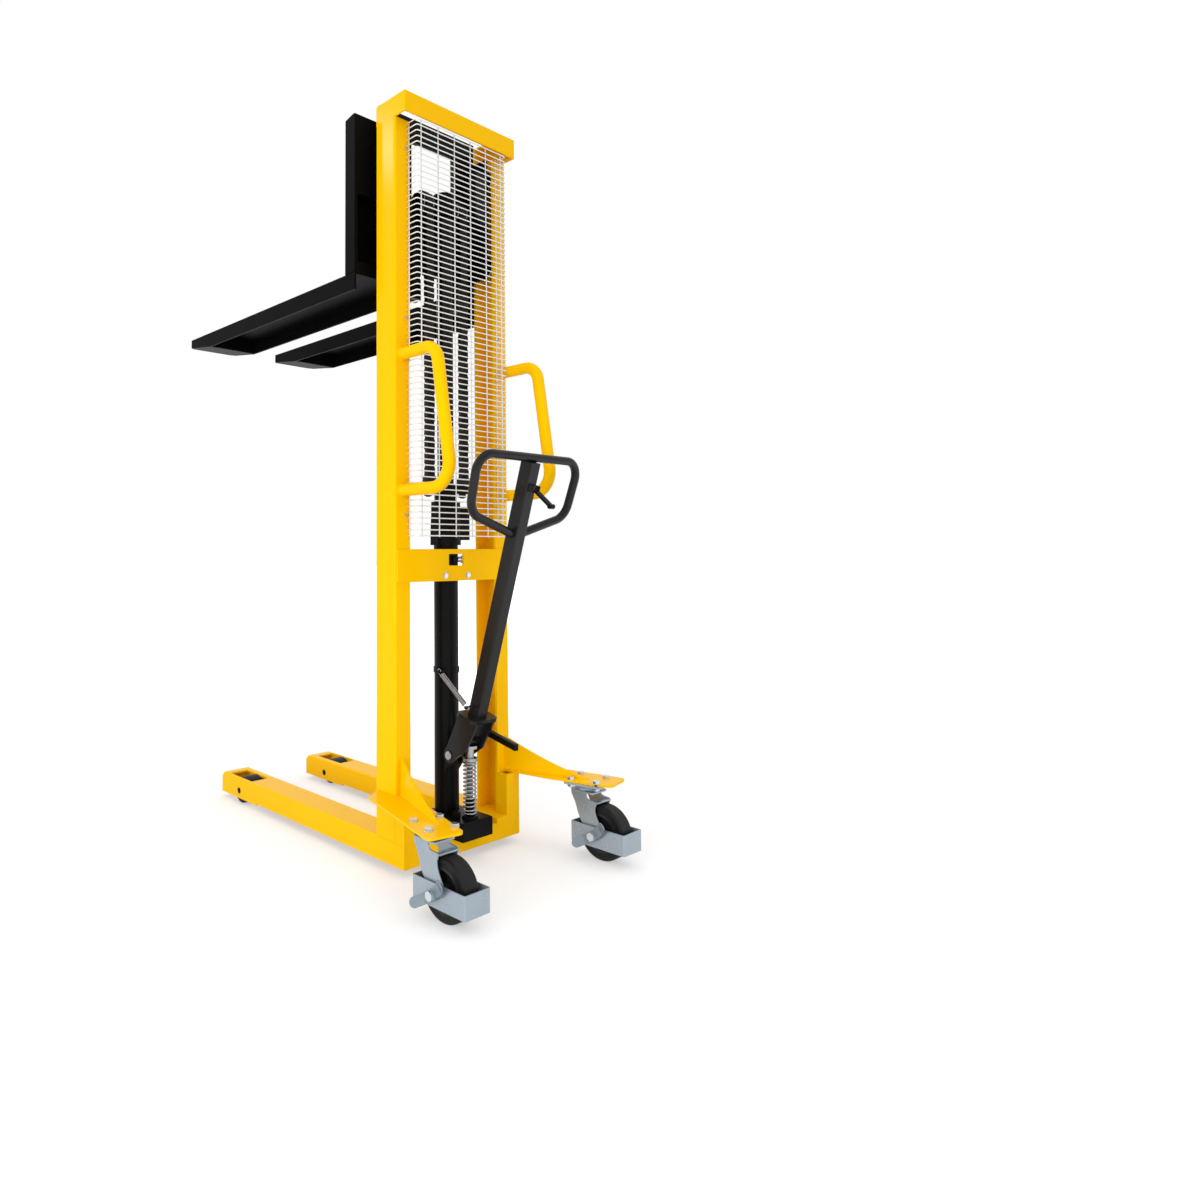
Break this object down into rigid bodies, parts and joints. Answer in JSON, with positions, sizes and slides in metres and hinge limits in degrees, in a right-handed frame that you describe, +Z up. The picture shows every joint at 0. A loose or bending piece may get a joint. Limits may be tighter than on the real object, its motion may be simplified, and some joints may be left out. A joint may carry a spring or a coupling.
{
  "type": "hand pallet stacker",
  "caption": "Hand-hydraulic pallet stacker: mast on legs with load rollers and swivel casters, chain-lifted fork carriage, pump tiller and wire guard.",
  "frame": {"origin": "on the floor, under the middle of the machine's overall box, forks as pictured", "axes": "+Z up along the mast, +Y forwards along the forks, +X to the right of an operator who faces the mast"},
  "size_m": [0.7088, 1.437, 2.025],
  "materials": {
    "yellow_paint": "semi-gloss yellow enamel on folded and rolled steel",
    "black_paint": "semi-gloss black powder coat on steel",
    "white_wire": "white plastic-dipped welded wire",
    "zinc": "bright zinc plate on pressed steel",
    "rod_steel": "ground rod, nitrided black and oiled",
    "spring_steel": "bright drawn spring wire",
    "chain_steel": "oiled leaf chain plates",
    "tyre_black": "moulded polyurethane and rubber",
    "hub_grey": "cast hub, painted",
    "machined": "turned steel, lightly oiled"
  },
  "bodies": {
    "chassis": {"mast_column_left": "yellow_paint", "mast_column_right": "yellow_paint", "top_beam": "yellow_paint", "mid_cross_plate": "yellow_paint", "base_cross_member": "yellow_paint", "column_shoes": "yellow_paint", "support_leg_left": "yellow_paint", "support_leg_right": "yellow_paint", "caster_bracket_left": "yellow_paint", "caster_bracket_right": "yellow_paint", "caster_top_plates": "zinc", "side_handle_left": "yellow_paint", "side_handle_right": "yellow_paint", "wire_guard": "white_wire", "cylinder_tube": "black_paint", "cylinder_head": "black_paint", "chain_anchor_bolts": "zinc", "cylinder_clamp": "black_paint", "pump_block": "black_paint", "release_valve": "black_paint", "plunger_spring": "spring_steel", "spring_collar": "black_paint", "return_spring": "spring_steel", "pivot_bracket": "black_paint", "axle_pins": "machined", "frame_fasteners": "zinc", "chain_rear_runs": "chain_steel"},
    "lift_rod": {"piston_rod": "rod_steel", "crosshead": "black_paint", "chain_wraps": "chain_steel"},
    "sheave_pair": {"chain_sheaves": "machined"},
    "carriage": {"fork_left": "black_paint", "fork_right": "black_paint", "carriage_back_plate": "black_paint", "roller_carriers": "black_paint", "chain_front_runs": "chain_steel"},
    "lower_roller_left": {"lower_mast_roller_left": "machined"},
    "lower_roller_right": {"lower_mast_roller_right": "machined"},
    "upper_roller_left": {"upper_mast_roller_left": "machined"},
    "upper_roller_right": {"upper_mast_roller_right": "machined"},
    "tiller": {"tiller_tube": "black_paint", "tiller_loop": "black_paint", "tiller_rocker": "black_paint", "foot_pedal": "black_paint"},
    "release_trigger": {"release_lever": "black_paint"},
    "plunger": {"pump_plunger": "machined"},
    "front_roller_left": {"load_roller_left": "tyre_black"},
    "front_roller_right": {"load_roller_right": "tyre_black"},
    "swivel_left": {"caster_fork_left": "zinc", "caster_guard_left": "zinc", "caster_axle_left": "zinc"},
    "swivel_right": {"caster_fork_right": "zinc", "caster_guard_right": "zinc", "caster_axle_right": "zinc"},
    "wheel_left": {"caster_tyre_left": "tyre_black", "caster_hub_left": "hub_grey"},
    "wheel_right": {"caster_tyre_right": "tyre_black", "caster_hub_right": "hub_grey"},
    "brake_left": {"brake_lever_left": "zinc"},
    "brake_right": {"brake_lever_right": "zinc"}
  },
  "joints": [
    {"name": "lift", "type": "slide", "parent": "chassis", "child": "lift_rod", "axis": [0, 0, 1], "range_m": [-0.729, 0.026], "deforming": ["chain_rear_runs"]},
    {"name": "carriage_lift", "type": "slide", "parent": "lift_rod", "child": "carriage", "axis": [0, 0, 1], "range_m": [-0.729, 0.026], "deforming": ["chain_front_runs"]},
    {"name": "sheave_spin", "type": "hinge", "parent": "lift_rod", "child": "sheave_pair", "pos_m": [0, -0.3035, 1.766], "axis": [1, 0, 0], "range_deg": [-1500, 60]},
    {"name": "tiller_pump", "type": "hinge", "parent": "chassis", "child": "tiller", "pos_m": [0, -0.3695, 0.268], "axis": [1, 0, 0], "range_deg": [0, 45], "stiffness_Nm_per_rad": 26, "springref_deg": -31.51, "deforming": ["return_spring"]},
    {"name": "plunger_stroke", "type": "slide", "parent": "chassis", "child": "plunger", "axis": [0, 0, 1], "range_m": [-0.0445, 0], "deforming": ["plunger_spring"]},
    {"name": "release_pull", "type": "hinge", "parent": "tiller", "child": "release_trigger", "pos_m": [0, -0.64311, 0.95807], "axis": [1, 0, 0], "range_deg": [-25, 0], "stiffness_Nm_per_rad": 0.8, "springref_deg": 14.32},
    {"name": "lower_roller_spin_left", "type": "hinge", "parent": "carriage", "child": "lower_roller_left", "pos_m": [-0.181, -0.3215, 1.632], "axis": [1, 0, 0], "continuous": true},
    {"name": "upper_roller_spin_left", "type": "hinge", "parent": "carriage", "child": "upper_roller_left", "pos_m": [-0.181, -0.3215, 1.888], "axis": [1, 0, 0], "continuous": true},
    {"name": "front_roller_spin_left", "type": "hinge", "parent": "chassis", "child": "front_roller_left", "pos_m": [-0.172, 0.4235, 0.04], "axis": [1, 0, 0], "continuous": true},
    {"name": "caster_swivel_left", "type": "hinge", "parent": "chassis", "child": "swivel_left", "pos_m": [-0.28, -0.5815, 0.17], "axis": [0, 0, 1], "continuous": true},
    {"name": "wheel_spin_left", "type": "hinge", "parent": "swivel_left", "child": "wheel_left", "pos_m": [-0.28, -0.6335, 0.07], "axis": [1, 0, 0], "continuous": true},
    {"name": "brake_press_left", "type": "hinge", "parent": "swivel_left", "child": "brake_left", "pos_m": [-0.28, -0.6335, 0.07], "axis": [1, 0, 0], "range_deg": [0, 25]},
    {"name": "lower_roller_spin_right", "type": "hinge", "parent": "carriage", "child": "lower_roller_right", "pos_m": [0.181, -0.3215, 1.632], "axis": [1, 0, 0], "continuous": true},
    {"name": "upper_roller_spin_right", "type": "hinge", "parent": "carriage", "child": "upper_roller_right", "pos_m": [0.181, -0.3215, 1.888], "axis": [1, 0, 0], "continuous": true},
    {"name": "front_roller_spin_right", "type": "hinge", "parent": "chassis", "child": "front_roller_right", "pos_m": [0.172, 0.4235, 0.04], "axis": [1, 0, 0], "continuous": true},
    {"name": "caster_swivel_right", "type": "hinge", "parent": "chassis", "child": "swivel_right", "pos_m": [0.28, -0.5815, 0.17], "axis": [0, 0, 1], "continuous": true},
    {"name": "wheel_spin_right", "type": "hinge", "parent": "swivel_right", "child": "wheel_right", "pos_m": [0.28, -0.6335, 0.07], "axis": [1, 0, 0], "continuous": true},
    {"name": "brake_press_right", "type": "hinge", "parent": "swivel_right", "child": "brake_right", "pos_m": [0.28, -0.6335, 0.07], "axis": [1, 0, 0], "range_deg": [0, 25]}
  ],
  "couplings": [
    {"joint": "carriage_lift", "follows": "lift", "ratio": 1},
    {"joint": "sheave_spin", "follows": "lift", "rad_per_m": 35.714},
    {"joint": "plunger_stroke", "follows": "tiller_pump", "m_per_rad": -0.0555}
  ]
}
